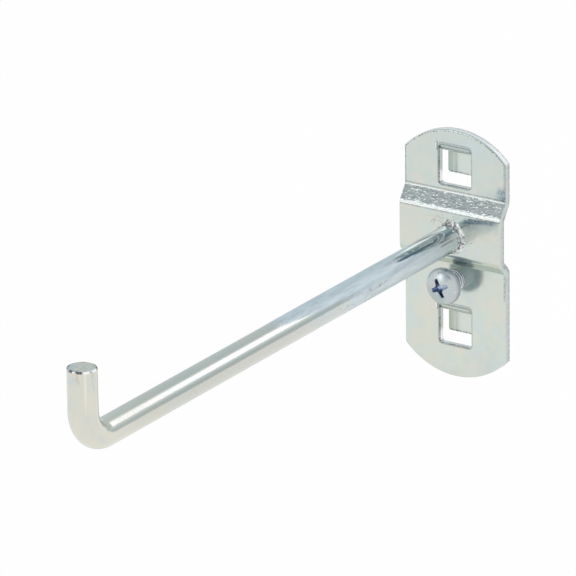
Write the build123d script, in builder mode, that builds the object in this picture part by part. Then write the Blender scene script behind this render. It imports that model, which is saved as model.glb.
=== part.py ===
"""Tool holder for square-hole perforated panels.

A pressed steel plate hooks into two holes of the panel. A round bar with an upturned end is
welded to the raised band of the plate, and a cross-recess screw in the plate locks it in place.

Millimetres. X runs across the plate, +Y into the panel, +Z up. The origin is where the bar's axis
meets the panel's front face, midway between the seats of the two hooks.
"""

import os
from math import hypot, isclose, pi, sqrt

from build123d import *

# Panel grid
hook_pitch = 38.1

# Sheet and outline of the plate
sheet = 1.8
plate_width = 26.5
end_radius = 18.0
top_margin = 5.75
bottom_margin = 14.95
sheet_bend = 0.6
edge_round = 0.25

# Round bar
bar_diameter = 6.35
reach = 150.0
bar_bend = 4.2
tip_height = 17.0
tip_chamfer = 0.35

# Weld round the bar
weld_leg = 1.3
weld_crown = 0.2

# Raised band that carries the bar
band_depth = 2.4
band_spare_above = 2.0
band_spare_below = 0.1
upper_slope = 3.5
lower_slope = 2.4

# Hooks lanced out of the plate
hook_width = 8.35
hook_side_gap = 0.15
hook_bend = 0.5
hook_root = 1.0
panel_gap = 2.2
leg_length = 5.3
leg_corner = 0.6
window_corner = 0.6
window_top_corner = 1.3
neutral_share = 0.33

# Locking screw
thread_diameter = 4.9
thread_gap = 0.05
thread_length = 6.0
thread_point = 0.5
head_diameter = 8.6
head_height = 2.7
head_crown = 0.9
head_round = 1.1
head_standoff = 4.3
screw_drop = 3.7
recess_length = 5.0
recess_width = 1.2
recess_depth = 1.9
recess_taper = 8.0
recess_turn = 22.0

# Share within which two sizes count as the same, and least forward share of a front face's normal
match = 1e-5
front_share = 0.5

# Places that follow from the sizes
bar_radius = bar_diameter / 2
weld_radius = bar_radius + weld_leg
band_front = -band_depth - sheet
band_top = weld_radius + band_spare_above
band_bottom = -weld_radius - band_spare_below
plate_front = -sheet
plate_top = hook_pitch / 2 + top_margin
plate_bottom = -hook_pitch / 2 - bottom_margin
half_width = plate_width / 2
arc_rise = end_radius - sqrt(end_radius**2 - half_width**2)
hook_seats = (hook_pitch / 2, -hook_pitch / 2)
leg_back = panel_gap + sheet
tip_axis = bar_radius - reach
screw_height = band_bottom - lower_slope - screw_drop
head_seat = plate_front - head_standoff
head_radius = head_diameter / 2
fold_rise = sheet + hook_bend
window_width = hook_width + 2 * hook_side_gap

# The window is as high as the flat length of the hook that is bent out of it
bend_length = pi / 2 * (hook_bend + neutral_share * sheet)
window_height = 2 * bend_length + panel_gap - 2 * hook_bend + leg_length


def bend_shift(rise):
    """Height from a bend on the front face to the same bend on the back face, for a slope."""
    return sheet * (hypot(rise, band_depth) - rise) / band_depth


def sheet_section(back_line, back_radii):
    """Section of the sheet in front of a back face that runs downwards, with round bends."""
    with BuildSketch(Plane.YZ) as section:
        with BuildLine():
            FilletPolyline(*back_line, radius=back_radii)
            offset(amount=sheet, side=Side.RIGHT)
        make_face()
    return section.sketch


def window_outline():
    """Opening that a hook is lanced out of, below the middle of its top edge."""
    with BuildSketch() as outline:
        Rectangle(window_width, window_height, align=(Align.CENTER, Align.MAX))
        fillet(outline.vertices().group_by(Axis.Y)[-1], window_top_corner)
        fillet(outline.vertices().group_by(Axis.Y)[0], window_corner)
    return outline.sketch


def on_outline(edge):
    """True for an edge on the straight sides or the round ends of the plate."""
    on_side = isclose(abs(edge.center().X), half_width, rel_tol=match)
    on_end = edge.geom_type == GeomType.CIRCLE and isclose(edge.radius, end_radius, rel_tol=match)
    return on_side or on_end


os.makedirs("parts", exist_ok=True)

# Hooks: tabs lanced on three sides, then bent back and down
with BuildPart() as hooks:
    for seat in hook_seats:
        leg_end = seat - hook_bend - leg_length
        hook_section = sheet_section(
            [
                (0, seat + fold_rise + hook_root),
                (0, seat + sheet),
                (leg_back, seat + sheet),
                (leg_back, leg_end),
            ],
            [hook_bend, hook_bend + sheet],
        )
        extrude(hook_section, amount=hook_width / 2, both=True)
        leg_corners = hooks.edges(Select.LAST).filter_by(Axis.Y).group_by(Axis.Z)[0]
        fillet(leg_corners, leg_corner)

# Mounting plate: one pressed sheet with a raised band, two windows and the hooks bent out of them
upper_shift = bend_shift(upper_slope)
lower_shift = bend_shift(lower_slope)
wide_bend = sheet_bend + sheet
with BuildPart() as mounting_plate:
    pressed_section = sheet_section(
        [
            (0, plate_top),
            (0, band_top + upper_slope - upper_shift),
            (-band_depth, band_top - upper_shift),
            (-band_depth, band_bottom + lower_shift),
            (0, band_bottom - lower_slope + lower_shift),
            (0, plate_bottom),
        ],
        [wide_bend, sheet_bend, sheet_bend, wide_bend],
    )
    extrude(pressed_section, amount=half_width, both=True)

    with BuildSketch(Plane.XZ):
        with BuildLine():
            Line((-half_width, plate_bottom + arc_rise), (-half_width, plate_top - arc_rise))
            ThreePointArc((-half_width, plate_top - arc_rise), (0, plate_top), (half_width, plate_top - arc_rise))
            Line((half_width, plate_top - arc_rise), (half_width, plate_bottom + arc_rise))
            ThreePointArc(
                (half_width, plate_bottom + arc_rise), (0, plate_bottom), (-half_width, plate_bottom + arc_rise)
            )
        make_face()
    extrude(amount=-band_front, mode=Mode.INTERSECT)

    front_faces = mounting_plate.faces().filter_by(lambda face: face.normal_at().Y < -front_share)
    fillet(front_faces.edges().filter_by(on_outline), edge_round)

    with BuildSketch(Plane.XZ):
        for seat in hook_seats:
            with Locations((0, seat + fold_rise)):
                add(window_outline())
        with Locations((0, screw_height)):
            Circle(thread_diameter / 2 + thread_gap)
    extrude(amount=sheet, mode=Mode.SUBTRACT)
    add(hooks.part)
mounting_plate.part.label = "mounting_plate"
export_step(mounting_plate.part, "parts/mounting_plate.step")

# Hook arm: round bar from the raised band to its upturned end
with BuildPart() as hook_arm:
    with BuildLine(Plane.YZ) as route:
        FilletPolyline((band_front, 0), (tip_axis, 0), (tip_axis, tip_height), radius=bar_bend + bar_radius)
    with BuildSketch(Plane.XZ.offset(-band_front)):
        Circle(bar_radius)
    sweep(path=route.wire())
    chamfer(hook_arm.edges().sort_by(Axis.Z)[-1], tip_chamfer)
hook_arm.part.label = "hook_arm"
export_step(hook_arm.part, "parts/hook_arm.step")

# Weld bead: fillet between the bar and the raised band
with BuildPart() as weld_bead:
    with BuildSketch(Plane.XY):
        with BuildLine():
            Line((bar_radius, band_front - weld_leg), (bar_radius, band_front))
            Line((bar_radius, band_front), (weld_radius, band_front))
            SagittaArc((weld_radius, band_front), (bar_radius, band_front - weld_leg), weld_crown)
        make_face()
    revolve(axis=Axis.Y)
weld_bead.part.label = "weld_bead"
export_step(weld_bead.part, "parts/weld_bead.step")

# Locking screw: pan head with a cross recess, standing off the plate on its thread
screw_plane = Plane((0, head_seat, screw_height), x_dir=(1, 0, 0), z_dir=(0, 0, 1))
crown_radius = (head_radius**2 + head_crown**2) / (2 * head_crown)
with BuildPart() as locking_screw:
    with BuildSketch(screw_plane):
        with BuildLine():
            shoulder = (head_radius, head_crown - head_height)
            Line((0, thread_length), (0, -head_height))
            RadiusArc((0, -head_height), shoulder, -crown_radius)
            Polyline(
                shoulder,
                (head_radius, 0),
                (thread_diameter / 2, 0),
                (thread_diameter / 2, thread_length - thread_point),
                (thread_diameter / 2 - thread_point, thread_length),
                (0, thread_length),
            )
        make_face()
    revolve(axis=Axis((0, 0, screw_height), (0, 1, 0)))
    circles = locking_screw.edges().filter_by(GeomType.CIRCLE)
    rim = circles.filter_by(lambda edge: isclose(edge.radius, head_radius, rel_tol=match))
    fillet(rim.sort_by(Axis.Y)[0], head_round)
    with BuildSketch(Plane((0, head_seat - head_height, screw_height), x_dir=(1, 0, 0), z_dir=(0, 1, 0))):
        Rectangle(recess_length, recess_width, rotation=-recess_turn)
        Rectangle(recess_width, recess_length, rotation=-recess_turn)
    extrude(amount=recess_depth, taper=recess_taper, mode=Mode.SUBTRACT)
locking_screw.part.label = "locking_screw"
export_step(locking_screw.part, "parts/locking_screw.step")
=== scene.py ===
from math import asin, atan2, cos, pi, radians, sin
from random import Random

import bmesh
import bpy
from mathutils import Matrix, Vector, noise


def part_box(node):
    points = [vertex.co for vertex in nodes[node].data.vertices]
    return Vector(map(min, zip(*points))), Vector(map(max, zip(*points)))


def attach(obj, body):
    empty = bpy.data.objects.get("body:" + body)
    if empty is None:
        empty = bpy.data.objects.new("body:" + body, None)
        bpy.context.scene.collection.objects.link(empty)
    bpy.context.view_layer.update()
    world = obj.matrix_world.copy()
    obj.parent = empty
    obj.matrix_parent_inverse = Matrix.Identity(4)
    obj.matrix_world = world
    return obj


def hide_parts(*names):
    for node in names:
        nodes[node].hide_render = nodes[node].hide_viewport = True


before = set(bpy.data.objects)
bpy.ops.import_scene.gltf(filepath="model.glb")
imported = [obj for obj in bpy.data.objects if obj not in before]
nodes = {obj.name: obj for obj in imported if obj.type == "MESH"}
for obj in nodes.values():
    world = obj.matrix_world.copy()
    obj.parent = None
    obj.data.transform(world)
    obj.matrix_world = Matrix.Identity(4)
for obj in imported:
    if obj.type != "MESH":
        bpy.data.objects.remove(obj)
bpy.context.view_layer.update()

MM = 0.001

# Places read from the frame, in millimetres
plate_low, plate_high = (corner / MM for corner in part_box("mounting_plate"))
bar_low, bar_high = (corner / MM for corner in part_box("hook_arm"))
weld_low, weld_high = (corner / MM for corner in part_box("weld_bead"))
screw_low, screw_high = (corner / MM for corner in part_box("locking_screw"))

bar_radius = bar_high.x
bar_tip = bar_high.z
band_front = weld_high.y
weld_leg = weld_high.y - weld_low.y
weld_radius = weld_high.x
screw_axis = (screw_low.z + screw_high.z) / 2
screw_end = screw_high.y
head_radius = screw_high.x

# Sizes that the frame's boxes don't give, in millimetres
sheet = 1.8
end_radius = 18.0
band_spare_above = 2.0
band_spare_below = 0.1
upper_slope = 3.5
hook_pitch = 38.1
fold_rise = 2.3
leg_drop = 5.8
window_half = 4.325
window_height = 9.937
window_corner = 1.0
bar_bend = 4.2
bar_rim = 0.35
thread_length = 6.0
thread_radius = 2.45
thread_pitch = 0.8
thread_depth = 0.42
head_height = 2.7
head_crown = 0.9
head_round = 1.1
recess_length = 5.0
recess_width = 1.2
recess_depth = 1.9
recess_turn = radians(22)

# Places that follow from these sizes
band_depth = -band_front - sheet
band_top = weld_radius + band_spare_above
band_bottom = -weld_radius - band_spare_below
slope_top = band_top + upper_slope
hook_seats = (hook_pitch / 2, -hook_pitch / 2)
window_tops = [seat + fold_rise for seat in hook_seats]
leg_ends = [seat - leg_drop for seat in hook_seats]
dome_height = head_crown + head_round
head_seat = screw_end - thread_length
head_front = head_seat - head_height

# Arc length along the bar's middle, from the band to the start of the bend, through it and to the tip
bar_turn = bar_bend + bar_radius
bar_straight = band_front - bar_low.y - bar_radius - bar_turn
bar_arc = bar_turn * pi / 2
bar_length = bar_straight + bar_arc + bar_tip - bar_turn

# The photograph's view: angles, square picture in pixels, and where the origin lies in it
azimuth, elevation, roll = radians(33.573), radians(20.83), radians(-0.756)
image_side = 576
focal_pixels = 6527.5
view_distance = 1464.19
origin_pixel = (459.17, 232.65)
view_back = Vector((sin(azimuth) * cos(elevation), -cos(azimuth) * cos(elevation), sin(elevation)))
view_level = Vector((cos(azimuth), sin(azimuth), 0))
view_right = view_level * cos(roll) + view_back.cross(view_level) * sin(roll)
view_up = view_back.cross(view_right)
origin_right = (origin_pixel[0] - image_side / 2) / focal_pixels
origin_up = (image_side / 2 - origin_pixel[1]) / focal_pixels
eye = (view_back - view_right * origin_right - view_up * origin_up) * view_distance

# Directions across the straight bar: to the side that the photograph shows, and to that side's upper edge
bar_shown = Vector((view_back.x, view_back.z, 0)).normalized()
bar_upper = Vector((-bar_shown.y, bar_shown.x, 0))

# Reflectance of the plated sheet, and colours painted on it as shade, dark reflections and glints, in linear
# colour
SHEET_HIGH = (0.60, 0.672, 0.645, 1)
SHEET_LOW = (0.675, 0.715, 0.64, 1)
CREAM = (0.71, 0.695, 0.60, 1)
BLUE_GREY = (0.57, 0.65, 0.66, 1)
TINT_WARM = (0.72, 0.695, 0.625, 1)
TINT_COOL = (0.60, 0.695, 0.71, 1)
# Painted shade on the band's upper slope
SLOPE_SHADE = (0.50, 0.55, 0.55, 1)
# Painted dark reflection on the plate
DARK_REFLECTION_BLUE = (0.24, 0.31, 0.37, 1)
HEAT_TINT = (0.54, 0.50, 0.44, 1)
SHEARED = (0.56, 0.60, 0.60, 1)
LEG_PALE = (0.75, 0.81, 0.765, 1)
# Painted shade along the plate's outline and rounded edge
EDGE_SHADE = (0.06, 0.07, 0.08, 1)
# Dark colour for real lines, pits and marks, and also for painted shade
DARK_MARK_AND_SHADE = (0.16, 0.18, 0.20, 1)
# White for painted glints and highlights
GLINT_WHITE = (0.93, 0.95, 0.94, 1)

# Reflectance of the bar, the weld and the screw, and colours painted on them as shade, light and glints
BAR_NEAR = (0.59, 0.66, 0.69, 1)
BAR_FAR = (0.62, 0.635, 0.585, 1)
BAR_WARM = (0.66, 0.65, 0.58, 1)
RUBBED = (0.71, 0.785, 0.815, 1)
TIP_PALE = (0.70, 0.705, 0.63, 1)
TIP_CREAM = (0.735, 0.71, 0.615, 1)
TIP_STAIN = (0.56, 0.50, 0.38, 1)
WELD_PALE = (0.90, 0.91, 0.89, 1)
WELD_DULL = (0.46, 0.46, 0.44, 1)
WELD_SHADE = (0.15, 0.15, 0.15, 1)
SCREW_BLUE = (0.53, 0.59, 0.605, 1)
SCREW_GREY = (0.565, 0.59, 0.585, 1)
SCREW_PATCH = (0.44, 0.52, 0.58, 1)
# Painted shade on the screw head's rim
SCREW_RIM_SHADE = (0.30, 0.36, 0.42, 1)
# Painted light on the back of the head and the thread's crests, painted shade and light in its grooves
HEAD_BACK_LIT = (0.72, 0.83, 0.95, 1)
THREAD_CREST_GLINT = (0.92, 0.93, 0.91, 1)
GROOVE_SHADE = (0.13, 0.18, 0.25, 1)
GROOVE_LIT = (0.66, 0.78, 0.90, 1)
# Painted shade and light inside the cross recess
RECESS_SHADE = (0.27, 0.34, 0.49, 1)
RECESS_LIT = (0.52, 0.60, 0.72, 1)

# Colours of the studio that the zinc mirrors
WHITE = (1, 1, 1, 1)
FLOOR_WHITE = (0.96, 0.96, 0.96, 1)
SOFTBOX_LIGHT = (0.94, 0.97, 1.0)
SOFTBOX_FACE = (0.95, 0.96, 1.06, 1)
TENT_PALE = (0.80, 0.87, 0.90, 1)
TENT_SIDE = (0.65, 0.73, 0.77, 1)
TENT_BACK = (0.60, 0.67, 0.70, 1)
TENT_MIDDLE = (0.55, 0.62, 0.67, 1)
TENT_GREY = (0.50, 0.53, 0.55, 1)
TENT_TOP = (0.36, 0.43, 0.48, 1)
TENT_DARK = (0.12, 0.20, 0.29, 1)
TENT_FLOOR = (0.84, 0.87, 0.84, 1)

# The bar's attribute with each point's place in the straight bar
DRAWN_PLACE = "drawn_place"

# Share of the weld's full size at angles round the bar, in degrees from the right over the top
WELD_SHARES = (
    (-180, 0.75), (-150, 0.85), (-115, 0.65), (-90, 0.4), (-55, 0.6), (-30, 0.85), (0, 1.0), (30, 1.08),
    (60, 1.12), (84, 1.05), (90, 1.3), (96, 1.0), (105, 0.55), (135, 0.3), (155, 0.6), (181, 0.75),
)


def new_piece(name, body, material):
    """An empty mesh object with its material, which rides on a body."""
    mesh = bpy.data.meshes.new(name)
    mesh.materials.append(material)
    piece = bpy.data.objects.new(name, mesh)
    bpy.context.scene.collection.objects.link(piece)
    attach(piece, body)
    return piece


def skin(rings, closed_ends=True):
    """A bmesh through rings of the same number of points, in millimetres, written out in metres."""
    made = bmesh.new()
    rows = [[made.verts.new(Vector(point) * MM) for point in ring] for ring in rings]
    count = len(rows[0])
    for first, second in zip(rows, rows[1:]):
        for i in range(count):
            j = (i + 1) % count
            made.faces.new((first[i], first[j], second[j], second[i]))
    if closed_ends:
        made.faces.new(rows[0])
        made.faces.new(rows[-1])
    bmesh.ops.recalc_face_normals(made, faces=made.faces)
    return made


def finish_mesh(made, piece, sharp=radians(180)):
    """Writes a bmesh into a piece, smooth apart from edges sharper than the angle."""
    made.to_mesh(piece.data)
    made.free()
    piece.data.shade_smooth()
    piece.data.set_sharp_from_angle(angle=sharp)
    piece.data.update()


def put(tree, socket, value):
    """Gives an input of a node its value, or links it to another node's output."""
    if isinstance(value, bpy.types.NodeSocket):
        tree.links.new(value, socket)
    else:
        socket.default_value = value


def add_node(tree, kind, inputs, output=0, **settings):
    """Adds a node with its settings and inputs, and gives one of its outputs."""
    made = tree.nodes.new(kind)
    for name, value in settings.items():
        setattr(made, name, value)
    for key, value in inputs.items():
        put(tree, made.inputs[key], value)
    return made.outputs[output]


class Finish:
    """A node material under construction, with coordinates in millimetres of the part's frame."""

    def __init__(self, name, colour):
        self.material = bpy.data.materials.new(name)
        self.material.use_nodes = True
        self.tree = self.material.node_tree
        self.colour = colour
        self.relief = None
        coordinates = self.tree.nodes.new("ShaderNodeTexCoord")
        self.normal = coordinates.outputs["Normal"]
        self.place = self.scaled(coordinates.outputs["Object"], (1 / MM,) * 3)

    def node(self, kind, inputs, output=0, **settings):
        return add_node(self.tree, kind, inputs, output, **settings)

    def scaled(self, vector, factors):
        return self.node("ShaderNodeVectorMath", {0: vector, 1: factors}, operation="MULTIPLY")

    def part(self, vector, axis):
        return self.node("ShaderNodeSeparateXYZ", {0: vector}, output=axis)

    def slanted(self, vector, direction):
        """Length of a vector along a direction, times the direction's own length."""
        return self.node("ShaderNodeVectorMath", {0: vector, 1: direction}, output=1, operation="DOT_PRODUCT")

    def far_from(self, vector, point):
        """Distance from a point."""
        return self.node("ShaderNodeVectorMath", {0: vector, 1: point}, output=1, operation="DISTANCE")

    def math(self, operation, first, second=0.0, clamp=False):
        return self.node("ShaderNodeMath", {0: first, 1: second}, operation=operation, use_clamp=clamp)

    def chain(self, operation, values):
        """An operation on the first two values, then on its result and each value that follows."""
        total, *others = values
        for other in others:
            total = self.math(operation, total, other)
        return total

    def times(self, *values):
        return self.chain("MULTIPLY", values)

    def plus(self, *values):
        return self.chain("ADD", values)

    def minus(self, *values):
        return self.chain("SUBTRACT", values)

    def most(self, *values):
        return self.chain("MAXIMUM", values)

    def least(self, *values):
        return self.chain("MINIMUM", values)

    def size(self, value):
        return self.math("ABSOLUTE", value)

    def noise(self, scale, detail=3.0, rough=0.5, vector=None):
        inputs = {"Vector": vector or self.place, "Scale": scale, "Detail": detail, "Roughness": rough}
        return self.node("ShaderNodeTexNoise", inputs)

    def step(self, value, low, high, start=0.0, end=1.0):
        """Goes smoothly from start to end while the value goes from low to high."""
        inputs = {"Value": value, "From Min": low, "From Max": high, "To Min": start, "To Max": end}
        return self.node("ShaderNodeMapRange", inputs, interpolation_type="SMOOTHSTEP")

    def near(self, value, centre, width):
        """1 at the centre, falling to 0 at that distance from it."""
        return self.step(self.size(self.minus(value, centre)), 0.0, width, 1.0, 0.0)

    def between(self, value, low, high, soft):
        """1 from low to high, falling to 0 over the soft distance outside."""
        return self.times(self.step(value, low - soft, low), self.step(value, high, high + soft, 1.0, 0.0))

    def mix(self, share, first, second):
        return self.node("ShaderNodeMix", {0: share, 6: first, 7: second}, output=2, data_type="RGBA")

    def paint(self, colour, *masks):
        """Lays a colour over the finish, as strong as the product of the masks."""
        self.colour = self.mix(self.times(*masks), self.colour, colour)

    def emboss(self, height, distance):
        """Adds a bump whose height of 1 stands that many millimetres."""
        inputs = {"Height": height, "Distance": distance * MM, "Strength": 1.0}
        if self.relief is not None:
            inputs["Normal"] = self.relief
        self.relief = self.node("ShaderNodeBump", inputs)

    def done(self, metal, rough):
        """The material, with the colours and bumps that were laid on it."""
        shader = self.tree.nodes["Principled BSDF"]
        looks = {"Base Color": self.colour, "Metallic": metal, "Roughness": rough, "Normal": self.relief}
        for name, value in looks.items():
            put(self.tree, shader.inputs[name], value)
        return self.material


class SheetFinish(Finish):
    """Zinc on pressed sheet, with the masks that its marks share."""

    def __init__(self):
        super().__init__("plated_sheet", SHEET_LOW)
        self.across, self.depth, self.height = (self.part(self.place, axis) for axis in range(3))
        self.outward = self.part(self.normal, 1)
        self.facing = self.size(self.outward)
        self.in_front = self.times(self.step(self.depth, -1.1, -1.5), self.step(self.outward, 0.2, -0.2))
        self.front_face = self.times(self.in_front, self.step(self.facing, 0.8, 0.95))
        self.before_back = self.step(self.depth, 0.1, -0.05)
        self.on_rim = self.times(self.step(self.facing, 0.35, 0.15), self.before_back)
        on_slope = self.between(self.height, band_top + 0.2, slope_top - 0.2, 0.3)
        self.on_slope = self.times(on_slope, self.in_front)
        self.to_window = self.window_distance()
        self.grit = self.noise(2.3, 2.0, 0.55)
        self.drawn_grit = self.noise(2.3, 2.0, 0.55, vector=self.scaled(self.place, (0.45, 1.0, 1.3)))
        self.streaks = self.noise(2.4, 3.0, 0.6, vector=self.scaled(self.place, (1.0, 0.15, 1.0)))
        self.matt = []

    def window_distance(self):
        """Distance from the nearer window's outline, negative inside it."""
        from_side = self.minus(self.size(self.across), window_half - window_corner)
        distances = []
        for window_top in window_tops:
            from_middle = self.size(self.minus(self.height, window_top - window_height / 2))
            from_end = self.minus(from_middle, window_height / 2 - window_corner)
            outside = {0: self.most(from_side, 0.0), 1: self.most(from_end, 0.0)}
            beyond = self.far_from(self.node("ShaderNodeCombineXYZ", outside), (0, 0, 0))
            within = self.least(self.most(from_side, from_end), 0.0)
            distances.append(self.plus(beyond, within))
        return self.minus(self.least(*distances), window_corner)

    def tint(self):
        """Cooler towards the top, with faint warm and cool clouds."""
        self.paint(SHEET_HIGH, self.step(self.height, plate_low.z, plate_high.z))
        warm_start, warm_full = 22.0, 10.0
        cloud = self.noise(0.07)
        self.paint(CREAM, self.step(cloud, 0.50, 0.68, 0.0, 0.55))
        self.paint(BLUE_GREY, self.step(cloud, 0.46, 0.30, 0.0, 0.6))
        tints = self.noise(0.2, 3.0, 0.55)
        below_top = self.step(self.height, warm_start, warm_full, 0.25, 1.0)
        self.paint(TINT_WARM, self.step(tints, 0.50, 0.64, 0.0, 0.5), below_top)
        self.paint(TINT_COOL, self.step(tints, 0.50, 0.36, 0.0, 0.5))

    def mark_heat_and_reflections(self):
        """Burnt specks by the weld, a painted dark reflection of the bar to the right of the weld, another
        painted dark reflection near the right edge, and a warmer left side.
        """
        burnt_place = (-2.8, band_front, 4.6)
        reflection_place = (12.6, -sheet, 11.9)
        reflection_height, reflection_reach, reflection_climb = (4.0, 4.4), (5.2, 11.0), 0.13
        warm_height, warm_reach = (-2.0, 5.0), (-3.0, -9.0)

        burnt = self.step(self.far_from(self.place, burnt_place), 0.6, 3.6, 0.7, 0.0)
        self.paint(HEAT_TINT, burnt, self.step(self.noise(1.2), 0.42, 0.66), self.in_front)
        # Painted dark reflection of the bar, a band to the right of the weld
        climb = self.minus(self.height, self.times(self.across, reflection_climb))
        level = self.between(climb, *reflection_height, 0.7)
        reached = self.between(self.across, *reflection_reach, 2.0)
        broken = self.step(self.noise(0.9, 3.0, 0.6), 0.35, 0.6, 0.25, 0.9)
        self.paint(DARK_REFLECTION_BLUE, level, reached, self.in_front, broken)
        # Painted dark reflection near the right edge
        dark_reflection = self.step(self.far_from(self.place, reflection_place), 0.4, 2.4, 0.85, 0.0)
        reflection_patches = self.step(self.noise(1.6, 3.0, 0.6), 0.38, 0.58, 0.2, 1.0)
        self.paint(DARK_REFLECTION_BLUE, dark_reflection, reflection_patches, self.in_front)
        to_left = self.step(self.across, *warm_reach)
        self.paint(CREAM, to_left, self.between(self.height, *warm_height, 2.0), 0.45)

    def mark_bends(self):
        """Coarse grit on the band's upper slope, which is painted darker as shade, with painted glints on the
        grit and painted glints and shade along its bends.
        """
        height = self.height
        glint_lines = [self.near(height, slope_top, 0.28), self.near(height, band_top + 0.15, 0.36)]
        shade_lines = [self.near(height, slope_top + 0.5, 0.3), self.near(height, band_top - 0.4, 0.3)]
        glinting_grit = self.times(self.on_slope, self.step(self.drawn_grit, 0.60, 0.66))
        dark_grit = self.times(self.on_slope, self.step(self.drawn_grit, 0.47, 0.30, 0.0, 0.4))
        bright = self.times(self.plus(*glint_lines), self.step(self.grit, 0.42, 0.54))
        bright = self.times(self.most(bright, glinting_grit), self.in_front)
        dark = self.times(self.plus(*shade_lines), self.step(self.grit, 0.35, 0.65, 0.25, 0.7))
        dark = self.times(self.most(dark, dark_grit), self.in_front)
        # Painted shade darkens the slope and lines beside the bends; painted glints light the bends and the
        # grit
        self.paint(SLOPE_SHADE, self.on_slope, 0.75)
        self.paint(DARK_MARK_AND_SHADE, dark)
        self.paint(GLINT_WHITE, bright)
        self.matt.append(bright)

    def mark_rim(self):
        """Sheared edges: streaked, with a painted highlight where they face up, and dark along the back face.
        """
        rim_highlight = self.times(self.on_rim, self.step(self.part(self.normal, 2), 0.25, 0.7))
        self.paint(SHEARED, self.on_rim, 0.75)
        self.paint(DARK_MARK_AND_SHADE, self.on_rim, self.step(self.streaks, 0.58, 0.68, 0.0, 0.25))
        # Painted highlight on the edges that face up
        self.paint(GLINT_WHITE, rim_highlight, 0.65)
        raised = self.times(self.between(self.height, band_bottom, band_top, 2.5), band_depth)
        back_line = self.times(self.on_rim, self.step(self.plus(self.depth, raised), -0.7, -0.3))
        self.paint(DARK_MARK_AND_SHADE, back_line, self.step(self.streaks, 0.40, 0.60, 0.15, 0.5))
        self.matt.append(self.times(rim_highlight, 0.6))

    def mark_outline(self):
        """Broken lines of painted shade just inside the plate's outline and on its rounded edge."""
        line_inset, line_width = 0.3, 0.22
        lined_above, lined_below = (8.5, 10.5), (-12.5, -8.0)
        arc_start, arc_full = plate_high.z - 8.0, plate_high.z - 6.5
        arc_centre = (0, 0, plate_high.z - end_radius)
        in_side = self.minus(plate_high.x, self.size(self.across))
        in_arc = self.minus(end_radius, self.far_from(self.scaled(self.place, (1, 0, 1)), arc_centre))
        lined = self.most(self.step(self.height, *lined_above), self.between(self.height, *lined_below, 1.5))
        high_up = self.step(self.height, arc_start, arc_full)
        arc_line = self.times(self.near(in_arc, line_inset, line_width), high_up)
        side_line = self.times(self.near(in_side, line_inset, line_width), lined)
        dashes = self.most(
            self.times(arc_line, self.step(self.grit, 0.50, 0.58, 0.0, 0.9)),
            self.times(side_line, self.step(self.grit, 0.40, 0.55, 0.2, 0.65)),
        )
        edge = self.times(self.near(self.facing, 0.52, 0.3), self.before_back, lined)
        clear_of_window = self.step(self.to_window, 0.9, 1.2)
        edge = self.times(edge, clear_of_window, self.step(self.grit, 0.35, 0.6, 0.3, 0.75))
        # Painted shade along the outline and on the rounded edge
        self.paint(EDGE_SHADE, self.most(self.times(dashes, self.front_face), edge))

    def mark_windows(self):
        """Walls of the windows, with a painted highlight behind and torn dark in front, darker in their lower
        halves from the rough tear and painted shade, and a line of painted shade round them.
        """
        in_window = self.times(self.on_rim, self.step(self.to_window, 0.35, 0.25))
        torn = self.step(self.depth, -0.95, -1.15)
        # Painted highlight on the back half of the walls
        self.paint(GLINT_WHITE, in_window, self.step(torn, 0.0, 1.0, 0.8, 0.0))
        lower_halves = [
            self.between(self.height, top - window_height - 0.5, top - window_height / 2, 2.0)
            for top in window_tops
        ]
        # Lower halves darker, partly from the rough tear and partly painted shade
        lower_shade = self.step(self.plus(*lower_halves), 0.0, 1.0, 0.4, 1.0)
        self.paint(DARK_MARK_AND_SHADE, in_window, torn, self.step(self.streaks, 0.60, 0.40, 0.25, 0.85), lower_shade)
        outline = self.times(self.near(self.to_window, 0.08, 0.28), self.front_face)
        # Line of painted shade round the windows
        self.paint(DARK_MARK_AND_SHADE, outline, self.step(self.grit, 0.35, 0.6, 0.3, 0.6))

    def mark_hooks(self):
        """Painted shade under the window tops and along the fold lines where the hooks fold back, pale legs,
        and the sheared edges at their ends, dark with painted glints.
        """
        arch_depth, crease_drop = 1.2, 1.7
        on_fold = self.step(self.depth, -0.2, -0.5)
        inside = self.step(self.to_window, -0.2, -0.6)
        gritty = self.step(self.grit, 0.3, 0.6, 0.4, 0.75)
        for window_top in window_tops:
            under_top = self.between(self.height, window_top - arch_depth, window_top, 0.4)
            arch = self.times(self.near(self.to_window, -0.4, 0.4), under_top)
            crease_shade = self.times(self.near(self.height, window_top - crease_drop, 0.35), inside)
            # Painted shade of the bend under each window top and along the fold line
            self.paint(DARK_MARK_AND_SHADE, self.plus(arch, crease_shade), on_fold, gritty)
        on_leg = self.step(self.depth, 1.9, 2.1)
        leg_front = self.times(on_leg, self.step(self.outward, -0.2, -0.6))
        self.paint(LEG_PALE, leg_front, 0.8)
        self.matt.append(self.times(leg_front, 0.5))
        for leg_end in leg_ends:
            leg_edge = self.times(self.between(self.height, leg_end - 0.1, leg_end + 0.3, 0.15), on_leg)
            self.paint(DARK_MARK_AND_SHADE, leg_edge, self.step(self.grit, 0.56, 0.46, 0.0, 0.8))
            # Painted glints on the legs' sheared ends
            self.paint(GLINT_WHITE, leg_edge, self.step(self.grit, 0.58, 0.62))

    def mark_burrs(self):
        """Burrs beside the windows, with painted shade at the foot and a painted highlight on the ridge."""
        near_window = self.step(self.to_window, 1.2, 1.0)
        foot = self.times(self.step(self.depth, -sheet - 0.02, -sheet - 0.05), near_window)
        ridge = self.times(self.step(self.depth, -sheet - 0.15, -sheet - 0.22), near_window)
        # Painted shade at the foot of the burrs and a painted highlight on their ridge
        self.paint(DARK_MARK_AND_SHADE, foot)
        self.paint(GLINT_WHITE, ridge)
        self.matt.append(ridge)

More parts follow.
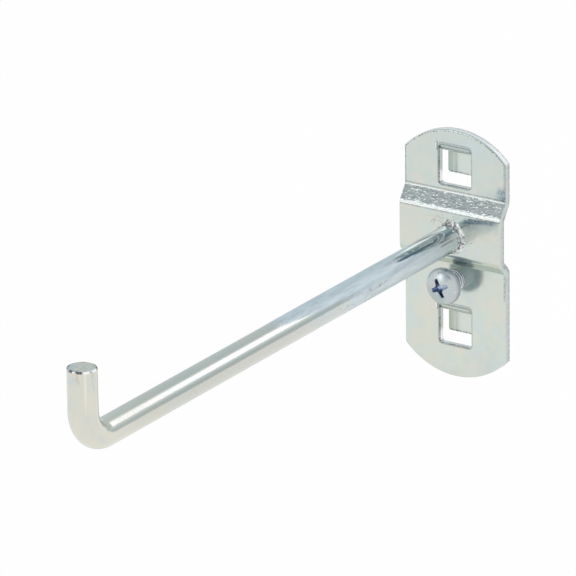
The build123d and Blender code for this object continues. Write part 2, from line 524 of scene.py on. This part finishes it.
    def roughen(self):
        """Fine grain, coarse grit on the slope, ripples by the weld and streaks on the sheared edges."""
        rippled_place = (5.6, band_front, 4.0)
        self.emboss(self.noise(3.0, 4.0, 0.6), 0.002)
        self.emboss(self.times(self.on_slope, self.drawn_grit), 0.07)
        by_weld = self.step(self.far_from(self.place, rippled_place), 1.0, 4.5, 1.0, 0.0)
        self.emboss(self.times(by_weld, self.noise(1.3, 2.0)), 0.07)
        self.emboss(self.times(self.on_rim, self.streaks), 0.08)


def plated_sheet():
    """Zinc on pressed sheet: faint clouds, grit with painted glints and shade along the pressed bends,
    sheared edges.
    """
    zinc = SheetFinish()
    zinc.tint()
    zinc.mark_heat_and_reflections()
    zinc.mark_bends()
    zinc.mark_rim()
    zinc.mark_outline()
    zinc.mark_windows()
    zinc.mark_hooks()
    zinc.mark_burrs()
    zinc.roughen()
    rough = zinc.step(zinc.noise(0.5, 4.0), 0.35, 0.7, 0.16, 0.24)
    rough = zinc.plus(rough, zinc.times(zinc.on_rim, 0.12))
    metal = zinc.minus(1.0, zinc.times(zinc.plus(*zinc.matt), 0.75))
    return zinc.done(metal, rough)


class BarFinish(Finish):
    """Zinc on drawn bar, with places across the bar and along it from the band."""

    def __init__(self):
        super().__init__("plated_bar", BAR_FAR)
        self.drawn = self.node("ShaderNodeAttribute", {}, output=1, attribute_name=DRAWN_PLACE)
        self.across, self.along = (self.part(self.drawn, axis) for axis in (0, 2))
        self.shown_up = self.slanted(self.drawn, bar_upper / bar_radius)
        self.shown_side = self.step(self.slanted(self.drawn, bar_shown / bar_radius), 0.0, 0.2)
        self.from_core = self.far_from(self.scaled(self.drawn, (1, 1, 0)), (0, 0, 0))
        self.cropped = self.step(self.from_core, bar_radius - 0.1, bar_radius - 0.2)
        self.lines = self.drawn_noise(2.2, 4.0, 0.6, 0.06)
        self.brushed = self.drawn_noise(1.3, 5.0, 0.65, 0.12)
        self.crop_marks = self.noise(1.4, 5.0, 0.65, vector=self.scaled(self.drawn, (1, 0.4, 1)))
        self.rubbed = self.rubbed_zone()
        # Painted gleam beside the weld, also made matt
        gleam_start, gleam_end = 4.0, 18.0
        gleam = self.between(self.along, gleam_start, gleam_end, 2.0)
        self.gleam = self.times(self.near(self.shown_up, 0.73, 0.1), gleam, self.shown_side, 0.55)

    def drawn_noise(self, scale, detail, rough, lengthwise):
        """Noise whose scale along the bar is that share of its scale across it."""
        return self.noise(scale, detail, rough, vector=self.scaled(self.drawn, (1, 1, lengthwise)))

    def rubbed_zone(self):
        """1 where tools have rubbed the bar dull, with ragged ends that lean along the bar."""
        near_end, far_end = (7.0, 13.0), (56.0, 48.0)
        near_lean, far_lean, ragged_length = 50.0, 60.0, 16.0
        ragged = self.times(self.minus(self.lines, 0.5), ragged_length)
        slant = self.most(self.least(self.shown_up, 0.3), -0.10)
        from_near = self.plus(self.minus(self.along, self.times(slant, near_lean)), ragged)
        from_far = self.plus(self.minus(self.along, self.times(slant, far_lean)), ragged)
        return self.times(self.step(from_far, *far_end), self.step(from_near, *near_end))

    def tint(self):
        """Bluish near the band and warmer beyond, with faint clouds and drawing lines."""
        warm_length, blue_length = 75.0, 45.0
        self.paint(BAR_NEAR, self.step(self.along, warm_length, blue_length))
        self.paint(BAR_WARM, self.step(self.noise(0.07, vector=self.drawn), 0.42, 0.62, 0.0, 0.6))
        self.paint(DARK_MARK_AND_SHADE, self.step(self.lines, 0.55, 0.8, 0.0, 0.12))

    def mark_rubbing(self):
        """The rubbed zone with its brush lines, and scuffs and flecks low on the side that is shown."""
        scuffed, flecked = (34.0, 46.0), (48.0, 105.0)
        self.paint(RUBBED, self.rubbed)
        self.paint(DARK_MARK_AND_SHADE, self.rubbed, self.step(self.brushed, 0.40, 0.70, 0.0, 0.22))
        low_side = self.step(self.shown_up, -0.12, -0.44)
        scuffs = self.step(self.drawn_noise(1.5, 4.0, 0.7, 0.5), 0.56, 0.66)
        self.paint(DARK_MARK_AND_SHADE, scuffs, low_side, self.between(self.along, *scuffed, 8.0), 0.4)
        flecks = self.step(self.drawn_noise(2.4, 3.0, 0.7, 0.5), 0.56, 0.72, 0.0, 0.3)
        self.paint(DARK_MARK_AND_SHADE, flecks, low_side, self.between(self.along, *flecked, 10.0))

    def mark_root(self):
        """Painted dark reflection lines, painted shade on the upper edge and a painted gleam beside the weld.
        """
        lined_length, shaded_length = (3.6, 7.5), (3.0, 12.0)
        # Painted dark reflection lines on the side that is shown
        lines = self.most(self.near(self.shown_up, -0.24, 0.1), self.near(self.shown_up, 0.0, 0.08))
        lines = self.times(lines, self.between(self.along, *lined_length, 1.5), self.shown_side)
        lines = self.times(lines, self.step(self.lines, 0.35, 0.55, 0.35, 0.7))
        shade = self.between(self.along, *shaded_length, 3.0)
        shade = self.times(self.step(self.shown_up, 0.78, 0.92), shade, self.shown_side, 0.5)
        self.paint(DARK_MARK_AND_SHADE, self.most(lines, shade))
        self.paint(GLINT_WHITE, self.gleam)

    def mark_tip(self):
        """Paler upturned end with warm and cool tints, stains and a painted highlight streak up its side."""
        glint_turn = radians(45)
        pale_start, pale_full = bar_straight - 16.0, bar_straight + 4.0
        at_tip = self.step(self.along, pale_start, pale_full)
        self.paint(TIP_PALE, at_tip, 0.8)
        shown_right = self.slanted(self.drawn, view_level / bar_radius)
        warmer = self.step(shown_right, -0.8, -0.2, -0.08, 0.06)
        tints = self.plus(self.drawn_noise(0.42, 3.0, 0.6, 0.45), warmer)
        self.paint(TIP_CREAM, self.step(tints, 0.50, 0.64, 0.0, 0.75), at_tip)
        self.paint(BLUE_GREY, self.step(tints, 0.46, 0.34, 0.0, 0.75), at_tip)
        stains = self.step(self.drawn_noise(0.8, 3.0, 0.6, 0.2), 0.56, 0.70, 0.0, 0.5)
        self.paint(TIP_STAIN, stains, self.step(self.along, bar_length - 9.0, bar_length - 2.0))
        # Painted highlight streak up the right side
        tip_glint = self.near(self.slanted(self.drawn, (sin(glint_turn), cos(glint_turn), 0)), 0.0, 0.4)
        upwards = self.step(self.along, bar_length - 12.0, bar_length - 3.0, 0.0, 0.4)
        right_side = self.math("SUBTRACT", self.step(self.across, 0.0, 1.0), self.cropped, clamp=True)
        self.paint(GLINT_WHITE, tip_glint, upwards, right_side)

    def mark_crop(self):
        """Torn face of the cropped end, with dark chips and painted glints round its rim."""
        self.paint(DARK_MARK_AND_SHADE, self.cropped, self.step(self.crop_marks, 0.48, 0.72, 0.0, 0.35))
        rim_start = bar_length - bar_rim
        on_rim = self.times(
            self.step(self.along, rim_start - 0.15, rim_start),
            self.step(self.from_core, bar_radius - 0.525, bar_radius - 0.425),
        )
        chips = self.drawn_noise(0.55, 2.0, 0.5, 0.0)
        self.paint(DARK_MARK_AND_SHADE, on_rim, self.step(chips, 0.50, 0.42))
        # Painted glints on the rim
        self.paint(GLINT_WHITE, on_rim, self.step(chips, 0.54, 0.60))

    def roughen(self):
        """Drawing lines, grain beyond the gloss, brush lines and the torn face."""
        self.emboss(self.lines, 0.003)
        grain = self.drawn_noise(4.0, 3.0, 0.6, 0.4)
        self.emboss(self.times(self.step(self.along, 20.0, 45.0), grain), 0.012)
        self.emboss(self.times(self.rubbed, self.brushed), 0.02)
        self.emboss(self.times(self.cropped, self.crop_marks), 0.06)


def plated_bar():
    """Zinc on drawn bar: glossy near the weld, rubbed dull beyond it, then satin with faint lines."""
    zinc = BarFinish()
    zinc.tint()
    zinc.mark_rubbing()
    zinc.mark_root()
    zinc.mark_tip()
    zinc.mark_crop()
    zinc.roughen()
    gloss = zinc.step(zinc.along, 20.0, 70.0, 0.05, 0.12)
    rough = zinc.plus(gloss, zinc.times(zinc.rubbed, 0.42), zinc.times(zinc.cropped, 0.15))
    return zinc.done(zinc.minus(1.0, zinc.gleam), rough)


def plated_weld():
    """Zinc over a coarse weld, pale with dark pits, and painted shade where it meets the bar and on its upper
    left.
    """
    zinc = Finish("plated_weld", WELD_PALE)
    cloud = zinc.noise(1.1, 4.0, 0.6)
    pits = zinc.noise(1.5, 3.0, 0.55)
    zinc.paint(WELD_DULL, zinc.step(cloud, 0.46, 0.62))
    zinc.paint(DARK_MARK_AND_SHADE, zinc.step(pits, 0.54, 0.63, 0.0, 0.9))
    from_axis = zinc.far_from(zinc.scaled(zinc.place, (1, 0, 1)), (0, 0, 0))
    crevice = zinc.times(zinc.near(from_axis, bar_radius, 0.3), zinc.step(cloud, 0.35, 0.55, 0.4, 0.8))
    on_left = zinc.step(zinc.part(zinc.place, 0), 0.3, -0.5)
    high_up = zinc.step(zinc.part(zinc.place, 2), 2.4, 3.0)
    shaded = zinc.times(on_left, high_up, zinc.step(pits, 0.38, 0.52, 0.2, 0.85))
    # Painted shade where the weld meets the bar and on its upper left
    zinc.paint(WELD_SHADE, zinc.most(crevice, shaded))
    zinc.emboss(pits, 0.2)
    metal = zinc.step(cloud, 0.3, 0.7, 0.75, 0.45)
    rough = zinc.step(cloud, 0.3, 0.7, 0.16, 0.3)
    return zinc.done(metal, rough)


class ScrewFinish(Finish):
    """Bluish zinc on a small machine screw, with the masks that its marks share."""

    def __init__(self):
        super().__init__("plated_screw", SCREW_BLUE)
        self.across, self.depth = (self.part(self.place, axis) for axis in (0, 1))
        self.from_axis = self.far_from(self.scaled(self.place, (1, 0, 1)), (0, 0, screw_axis))
        self.backward = self.part(self.normal, 1)
        self.cloud = self.noise(0.35)
        self.patches = self.noise(1.1, 4.0, 0.65)
        self.matt = []

    def mark_head(self):
        """Clouds and bluish patches, painted glints on the right and painted shade on the rim."""
        self.paint(SCREW_GREY, self.step(self.cloud, 0.4, 0.62))
        self.paint(SCREW_PATCH, self.step(self.patches, 0.52, 0.68, 0.0, 0.4))
        specks = self.step(self.noise(2.2, 2.0), 0.62, 0.72, 0.0, 0.7)
        specks = self.times(specks, self.step(self.across, 0.8, 2.2))
        # Painted glints on the right of the head
        self.paint(GLINT_WHITE, specks)
        self.matt.append(specks)
        # Painted shade on the rim
        self.paint(SCREW_RIM_SHADE, self.step(self.from_axis, head_radius - 0.45, head_radius - 0.1, 0.0, 0.45))

    def mark_thread(self):
        """Crests painted pale as highlights, grooves with a flank in painted shade and a flank painted pale
        as lit, and the back of the head painted pale as if lit.
        """
        on_thread = self.step(self.depth, head_seat - 0.1, head_seat + 0.1)
        in_groove = self.step(self.from_axis, thread_radius - 0.06, thread_radius - 0.2)
        turned_back = self.step(self.backward, -0.1, 0.1)
        # Painted shade on the grooves' front flank and painted light on their back flank
        groove_shading = self.mix(turned_back, GROOVE_SHADE, GROOVE_LIT)
        self.paint(self.mix(in_groove, THREAD_CREST_GLINT, groove_shading), on_thread)
        head_back = self.step(self.size(self.minus(self.depth, head_seat)), 0.12, 0.06)
        head_back = self.times(head_back, self.step(self.backward, 0.5, 0.8))
        # Back of the head painted pale as if lit
        self.paint(HEAD_BACK_LIT, head_back)
        self.matt.append(self.times(on_thread, self.minus(1.0, in_groove), 0.7))
        self.matt.append(self.times(self.most(head_back, self.times(on_thread, turned_back)), 0.85))

    def mark_recess(self):
        """Painted shade inside the cross recess, paler in lit patches, and a painted highlight on its edge.
        """
        share = self.math("DIVIDE", self.from_axis, head_radius)
        level = self.math("SQRT", self.math("SUBTRACT", 1.0, self.times(share, share), clamp=True))
        dome = self.minus(head_front + dome_height, self.times(level, dome_height))
        below = self.minus(self.depth, dome)
        in_cross = self.step(self.from_axis, recess_length / 2 + 0.2, recess_length / 2)
        in_cross = self.times(in_cross, self.step(self.depth, head_seat - 0.3, head_seat - 0.5))
        recess_shading = self.mix(self.step(self.patches, 0.45, 0.58), RECESS_SHADE, RECESS_LIT)
        # Painted shade inside the recess, paler where lit
        self.paint(recess_shading, in_cross, self.step(below, 0.18, 0.3))
        lit_edge = self.times(in_cross, self.between(below, 0.04, 0.2, 0.03))
        self.paint(GLINT_WHITE, lit_edge)
        self.matt.append(self.times(lit_edge, 0.7))


def plated_screw():
    """Bluish zinc on a small machine screw, with painted shade inside its recess and between its threads."""
    zinc = ScrewFinish()
    zinc.mark_head()
    zinc.mark_thread()
    zinc.mark_recess()
    zinc.emboss(zinc.noise(5.0, 4.0, 0.6), 0.006)
    zinc.emboss(zinc.patches, 0.03)
    metal = zinc.minus(1.0, zinc.most(*zinc.matt))
    return zinc.done(metal, zinc.step(zinc.cloud, 0.3, 0.7, 0.22, 0.32))


def wobble(point, size):
    """Smooth noise from -1 to 1 with lumps of about that size in millimetres."""
    return noise.noise(Vector(point) / size)


def bar_centre(s):
    """Centre of the bar at a length from the band, and the direction there that is up at the band."""
    tip_axis = bar_low.y + bar_radius
    if s <= bar_straight:
        return Vector((0, band_front - s, 0)), Vector((0, 0, 1))
    if s <= bar_straight + bar_arc:
        angle = (s - bar_straight) / bar_turn
        centre = Vector((0, tip_axis + bar_turn - bar_turn * sin(angle), bar_turn - bar_turn * cos(angle)))
        return centre, Vector((0, sin(angle), cos(angle)))
    return Vector((0, tip_axis, bar_turn + s - bar_straight - bar_arc)), Vector((0, 1, 0))


def bar_rows():
    """Lengths from the band at which the bar has a ring of points, and the share of its radius there."""
    straight_steps, bend_steps, upright_steps, rim_steps = 90, 80, 12, 5
    face_shares = (0.8, 0.6, 0.4, 0.2, 0.05)
    bend_end = bar_straight + bar_arc
    rim_start = bar_length - bar_rim
    rim_share = bar_rim / bar_radius
    rows = [(bar_straight * i / straight_steps, 1.0) for i in range(straight_steps)]
    rows += [(bar_straight + bar_arc * i / bend_steps, 1.0) for i in range(bend_steps)]
    rows += [(bend_end + (rim_start - bend_end) * i / upright_steps, 1.0) for i in range(upright_steps + 1)]
    for i in range(1, rim_steps + 1):
        angle = pi / 2 * i / rim_steps
        rows.append((rim_start + bar_rim * sin(angle), 1 - rim_share * (1 - cos(angle))))
    rows += [(bar_length, share * (1 - rim_share)) for share in face_shares]
    return rows


def make_bar(material):
    """Round bar from the band to its upturned end, slightly flattened in its bend, with a cropped end."""
    around = 128
    widening = 0.035
    widening_lead = 2.0
    inset, waviness, wave_size = 0.005, 0.004, 7.0
    nick_depth, nick_size, nick_rise = 0.09, 0.7, 12
    nicked_share = 0.85
    rings = []
    places = []
    for s, shrink in bar_rows():
        centre, side = bar_centre(s)
        bent = min(max((s - bar_straight + widening_lead) / bar_arc, 0.0), 1.0)
        wide = 1 + widening * bent
        ring = []
        for i in range(around):
            angle = 2 * pi * i / around
            x, y = cos(angle), sin(angle)
            radius = (bar_radius - inset + waviness * wobble((x * 3, y * 3, s), wave_size)) * shrink
            if shrink > nicked_share:
                nick = nick_depth * wobble((x * 3, y * 3, 0), nick_size) * min(1.0, nick_rise * (1 - shrink))
                radius += min(nick, 0.0)
            ring.append(centre + Vector((x * radius * wide, 0, 0)) + side * y * radius)
            places.append(Vector((x * bar_radius * shrink, y * bar_radius * shrink, s)))
        rings.append(ring)

    piece = new_piece("drawn_bar", "holder", material)
    finish_mesh(skin(rings), piece, radians(60))
    attribute = piece.data.attributes.new(DRAWN_PLACE, "FLOAT_VECTOR", "POINT")
    attribute.data.foreach_set("vector", [value for place in places for value in place])
    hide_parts("hook_arm")


def weld_share(degrees):
    """Share of the weld's full size at an angle round the bar."""
    place = max(k for k, (start, _) in enumerate(WELD_SHARES) if start <= degrees)
    (start, low), (end, high) = WELD_SHARES[place:place + 2]
    return low + (high - low) * (degrees - start) / (end - start)


def weld_rings():
    """Rows of points across the crust of the weld, from inside the bar to the band."""
    around, steps = 360, 30
    outward = Vector((0, -1, 0))
    full_leg = 0.88 * weld_leg
    bar_sink, band_sink, core_sink = 0.1, 0.05, Vector((0.4, 0.3, 0))
    rings = []
    for i in range(around):
        degrees = 360 * i / around - 180
        heavy = weld_share(degrees)
        radial = Vector((cos(radians(degrees)), 0, sin(radians(degrees))))
        leg = full_leg * heavy * (1 + 0.3 * wobble(radial * 5, 0.9))
        ring = [radial * (bar_radius - core_sink.x) + Vector((0, band_front + core_sink.y, 0))]
        for k in range(steps + 1):
            share = k / steps
            out = bar_radius - bar_sink + (leg + bar_sink + band_sink) * share
            lift = (0.3 * leg + 0.08) * (1 - share) - band_sink
            base = radial * out + Vector((0, band_front - lift, 0))
            crust = 0.6 * wobble(base + Vector((5, 0, 0)), 0.9) + 0.5 * abs(wobble(base, 0.45))
            grow = sin(pi * share) * heavy * (0.05 + 0.5 * crust)
            ring.append(base + (radial + outward).normalized() * grow)
        rings.append(ring)
    rings.append(rings[0])
    return rings


def add_spatter(made):
    """Adds one large drop under the bar and small ones strewn about the weld, on the band's flat."""
    drop_count, flatness, slope_margin = 22, 0.7, 0.6
    chance = Random(5)
    drops = [(Vector((2.85, band_front - 0.15, -2.55)), 0.36)]
    for _ in range(drop_count):
        angle = radians(chance.uniform(-40, 150))
        out = weld_radius + chance.uniform(0.0, 1.3) ** 1.5
        size = chance.uniform(0.06, 0.15)
        drops.append((Vector((cos(angle) * out, band_front - 0.3 * size, sin(angle) * out)), size))
    for place, size in drops:
        if place.z <= band_top - slope_margin:
            flat = Matrix.Diagonal((size * MM, flatness * size * MM, size * MM, 1))
            shape = Matrix.Translation(place * MM) @ flat
            bmesh.ops.create_icosphere(made, subdivisions=2, radius=1, matrix=shape)


def make_weld(material):
    """Crusty weld round the bar, heavier above and to the right, and the spatter about it."""
    made = skin(weld_rings(), closed_ends=False)
    bmesh.ops.remove_doubles(made, verts=made.verts, dist=1e-7)
    add_spatter(made)
    bmesh.ops.recalc_face_normals(made, faces=made.faces)
    piece = new_piece("weld_lumps", "holder", material)
    finish_mesh(made, piece)
    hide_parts("weld_bead")


def make_burr(name, window_top, material):
    """Ear of sheet that the lance raised beside the upper left corner of a window."""
    steps, around = 24, 16
    length, width, lift, bulge = 2.2, 0.22, 0.34, 0.25
    start = Vector((-window_half - 0.25, 0.02 - sheet, window_top + 0.25))
    rings = []
    for k in range(steps + 1):
        share = k / steps
        arch = max(sin(pi * share), 0.0)
        swell = arch ** 0.6 + 0.01
        centre = start - Vector((bulge * arch, 0, length * share))
        ring = []
        for i in range(around):
            angle = 2 * pi * i / around
            rough = 1 + 0.25 * wobble((3 * cos(angle), window_top + 4 * share, 3 * sin(angle)), 1.1)
            across = width * cos(angle) * swell * rough
            out = lift * sin(angle) * swell * rough
            ring.append(centre + Vector((across, -out, 0)))
        rings.append(ring)
    piece = new_piece(name, "holder", material)
    finish_mesh(skin(rings), piece)


def thread_surface(y, turn):
    """Radius of the thread at a depth and a share of a turn, with its grooves and its blunt point."""
    run_out, point_length, point_slope = 0.3, 0.7, 0.7
    from_seat = y - head_seat
    wave = (from_seat / thread_pitch - turn) % 1.0
    groove = min(max(abs(2 * wave - 1) * 1.35 - 0.15, 0.0), 1.0)
    fade = min(from_seat / run_out, 1.0)
    point = max(y - screw_end + point_length, 0.0)
    return thread_radius - thread_depth * groove * fade - point * point_slope


def screw_ring(y, radius_at):
    """Ring of points round the screw's axis, with a radius for each share of a turn."""
    around = 96
    ring = []
    for i in range(around):
        angle = 2 * pi * i / around
        radius = radius_at(i / around)
        ring.append((radius * cos(angle), y, screw_axis + radius * sin(angle)))
    return ring


def make_screw(material):
    """Pan-head screw with its thread and a cross recess."""
    dome_steps, thread_rows = 28, 120
    profile = [(0.02, head_front)]
    for i in range(1, dome_steps + 1):
        angle = pi / 2 * i / dome_steps
        profile.append((head_radius * sin(angle), head_front + dome_height * (1 - cos(angle))))
    profile += [(head_radius, head_seat - 0.3), (head_radius - 0.04, head_seat - 0.1)]
    profile += [(head_radius - 0.1, head_seat), (thread_radius + 0.9, head_seat)]
    rings = [screw_ring(y, lambda turn: radius) for radius, y in profile]
    for k in range(thread_rows + 1):
        y = head_seat + thread_length * k / thread_rows
        rings.append(screw_ring(y, lambda turn: thread_surface(y, turn)))
    piece = new_piece("machine_screw", "screw", material)
    finish_mesh(skin(rings), piece)
    cut_recess(piece)
    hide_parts("locking_screw")


def cut_recess(piece):
    """Cuts the cross out of the screw's head."""
    cutter = bpy.data.objects.new("recess_cutter", bpy.data.meshes.new("recess_cutter"))
    bpy.context.scene.collection.objects.link(cutter)
    finish_mesh(recess_form(), cutter)
    cut = piece.modifiers.new("cross_recess", "BOOLEAN")
    cut.object = cutter
    cut.solver = "EXACT"
    graph = bpy.context.evaluated_depsgraph_get()
    shaped = bpy.data.meshes.new_from_object(piece.evaluated_get(graph))
    piece.modifiers.clear()
    piece.data = shaped
    shaped.shade_smooth()
    shaped.set_sharp_from_angle(angle=radians(35))
    bpy.data.objects.remove(cutter)


def recess_form():
    """The cross that is cut into the head, narrowing towards its bottom."""
    half, wide, corner = recess_length / 2, recess_width / 2, 0.35
    tip = 0.6 * wide
    above, above_share, bottom_share = 0.6, 1.06, 0.62
    wing = ((half, -tip), (half, tip), (half - corner, wide), (wide + corner, wide), (wide, wide + corner))
    outline = []
    for quarter in range(4):
        turn = quarter * pi / 2 + recess_turn
        for x, y in wing:
            outline.append((x * cos(turn) - y * sin(turn), x * sin(turn) + y * cos(turn)))
    rings = []
    for lift, shrink in ((-above, above_share), (0.0, 1.0), (recess_depth, bottom_share)):
        rings.append([(x * shrink, head_front + lift, screw_axis + y * shrink) for x, y in outline])
    return skin(rings)


def bare_material(name):
    """A material without a shader, and its node tree."""
    material = bpy.data.materials.new(name)
    material.use_nodes = True
    tree = material.node_tree
    tree.nodes.remove(tree.nodes["Principled BSDF"])
    return material, tree


def seen_rays(tree):
    """1 for camera, glossy and transmission rays."""
    path = tree.nodes.new("ShaderNodeLightPath")
    total = path.outputs["Is Camera Ray"]
    for name in ("Is Glossy Ray", "Is Transmission Ray"):
        total = add_node(tree, "ShaderNodeMath", {0: total, 1: path.outputs[name]}, operation="MAXIMUM")
    return total


def make_floor():
    """Pale floor well below the part, white in the picture and still shadowed."""
    floor_side, floor_drop, white_share = 12, 0.05, 0.88
    bpy.ops.mesh.primitive_plane_add(size=floor_side, location=(0, 0, plate_low.z * MM - floor_drop))
    ground = bpy.context.object
    ground.name = "floor"
    material, tree = bare_material("floor_white")
    diffuse = add_node(tree, "ShaderNodeBsdfDiffuse", {"Color": FLOOR_WHITE})
    white = add_node(tree, "ShaderNodeEmission", {})
    seen = add_node(tree, "ShaderNodeMath", {0: seen_rays(tree), 1: white_share}, operation="MULTIPLY")
    surface = add_node(tree, "ShaderNodeMixShader", {0: seen, 1: diffuse, 2: white})
    tree.links.new(surface, tree.nodes["Material Output"].inputs["Surface"])
    ground.data.materials.append(material)


def make_world():
    """White surroundings, with less light for matt surfaces."""
    world = bpy.data.worlds.new("studio")
    bpy.context.scene.world = world
    world.use_nodes = True
    tree = world.node_tree
    background = tree.nodes["Background"]
    light = {"Value": seen_rays(tree), "To Min": 0.95, "To Max": 1.0}
    put(tree, background.inputs["Color"], WHITE)
    put(tree, background.inputs["Strength"], add_node(tree, "ShaderNodeMapRange", light))


def make_softbox(name, place, turn, size, colour, glow):
    """A soft box that faces down, turned about the vertical, whose face is glow times its colour."""
    lamp = bpy.data.lights.new(name, "AREA")
    lamp.shape = "RECTANGLE"
    lamp.size, lamp.size_y = (side * MM for side in size)
    lamp.color = colour
    lamp.energy = glow * pi * lamp.size * lamp.size_y
    softbox = bpy.data.objects.new(name, lamp)
    softbox.location = Vector(place) * MM
    softbox.rotation_euler.z = turn
    softbox.visible_glossy = False
    bpy.context.scene.collection.objects.link(softbox)


def make_panel(name, corners, colour, glow=1.0):
    """A flat panel of the studio with corners in millimetres, which only shows in reflections."""
    mesh = bpy.data.meshes.new(name)
    mesh.from_pydata([Vector(corner) * MM for corner in corners], [], [range(len(corners))])
    panel = bpy.data.objects.new(name, mesh)
    bpy.context.scene.collection.objects.link(panel)
    material, tree = bare_material(name)
    face = add_node(tree, "ShaderNodeEmission", {"Color": colour, "Strength": glow})
    tree.links.new(face, tree.nodes["Material Output"].inputs["Surface"])
    mesh.materials.append(material)
    panel.visible_camera = False
    panel.visible_diffuse = False
    panel.visible_shadow = False


def make_card(name, low, high, colour, glow=1.0):
    """A rectangular panel between two corners, square to the axes."""
    flat = min(range(3), key=lambda axis: high[axis] - low[axis])
    across, along = (axis for axis in range(3) if axis != flat)
    corners = [list(low) for _ in range(4)]
    for corner, axes in zip(corners, ((), (across,), (across, along), (along,))):
        for axis in axes:
            corner[axis] = high[axis]
    make_panel(name, corners, colour, glow)


def mirrored_place(share, y, height):
    """Place at a height that the picture shows mirrored in the bar, at a share of the way up to its edge."""
    view = (Vector((0, y, 0)) - eye).normalized()
    angle = atan2(-view.z, -view.x) + asin(share)
    normal = Vector((cos(angle), 0, sin(angle)))
    start = Vector((0, y, 0)) + normal * bar_radius
    ray = view.reflect(normal)
    return start + ray * (height - start.z) / ray.z


def make_streak_panel():
    """Face of the soft box, shaped so that its streak on the bar keeps one width."""
    height = 350
    low, high, steps = 0.05, 0.36, 24
    start, end = -137.5, -50.0
    shares = [low + (high - low) * i / steps for i in range(steps + 1)]
    corners = [mirrored_place(share, start, height) for share in shares]
    corners += [mirrored_place(share, end, height) for share in reversed(shares)]
    make_panel("softbox_face", corners, SOFTBOX_FACE, 1.8)


def make_camera():
    """Long lens at the photograph's angle, for a square picture."""
    lens = bpy.data.cameras.new("camera")
    lens.sensor_width = 36
    lens.lens = focal_pixels * lens.sensor_width / image_side
    lens.clip_end = 50
    camera = bpy.data.objects.new("camera", lens)
    turned = Matrix((view_right, view_up, view_back)).transposed().to_4x4()
    camera.matrix_world = Matrix.Translation(eye * MM) @ turned
    bpy.context.scene.collection.objects.link(camera)
    bpy.context.scene.camera = camera


sheet_finish = plated_sheet()
nodes["mounting_plate"].data.materials.clear()
nodes["mounting_plate"].data.materials.append(sheet_finish)
for place, top in zip(("upper", "lower"), window_tops):
    make_burr("lance_burr_" + place, top, sheet_finish)
make_bar(plated_bar())
make_weld(plated_weld())
make_screw(plated_screw())

make_floor()
make_world()
make_softbox("softbox_back", (220, 414, 350), radians(31), (375, 92), SOFTBOX_LIGHT, 1.62)
make_card("tent_left", (-300, -60, -40), (-300, 600, 350), TENT_SIDE)
make_card("tent_top_left", (-300, -60, 351), (20, 600, 351), TENT_SIDE)
make_card("tent_top", (20, -60, 352), (180, 230, 352), TENT_TOP)
make_card("tent_front_left", (-480, -520, 353), (-130, -200, 353), TENT_GREY)
make_card("tent_right_low", (330, 100, -20), (330, 560, 160), TENT_BACK)
make_card("tent_right_high", (330, 100, 161), (330, 560, 280), TENT_PALE)
make_streak_panel()
make_card("strip_front", (-330, -422, 20), (-150, -422, 320), WHITE, 1.8)
make_card("tent_front", (60, -420, 230), (220, -420, 500), TENT_DARK)
make_card("tent_front_middle", (-120, -421, 150), (60, -421, 500), TENT_MIDDLE)
make_card("tent_floor", (-200, -90, -82), (-20, 260, -82), TENT_FLOOR)
make_card("tent_back", (-300, 600, -40), (330, 600, 350), TENT_BACK)
make_camera()

bpy.context.scene.view_settings.view_transform = "Standard"
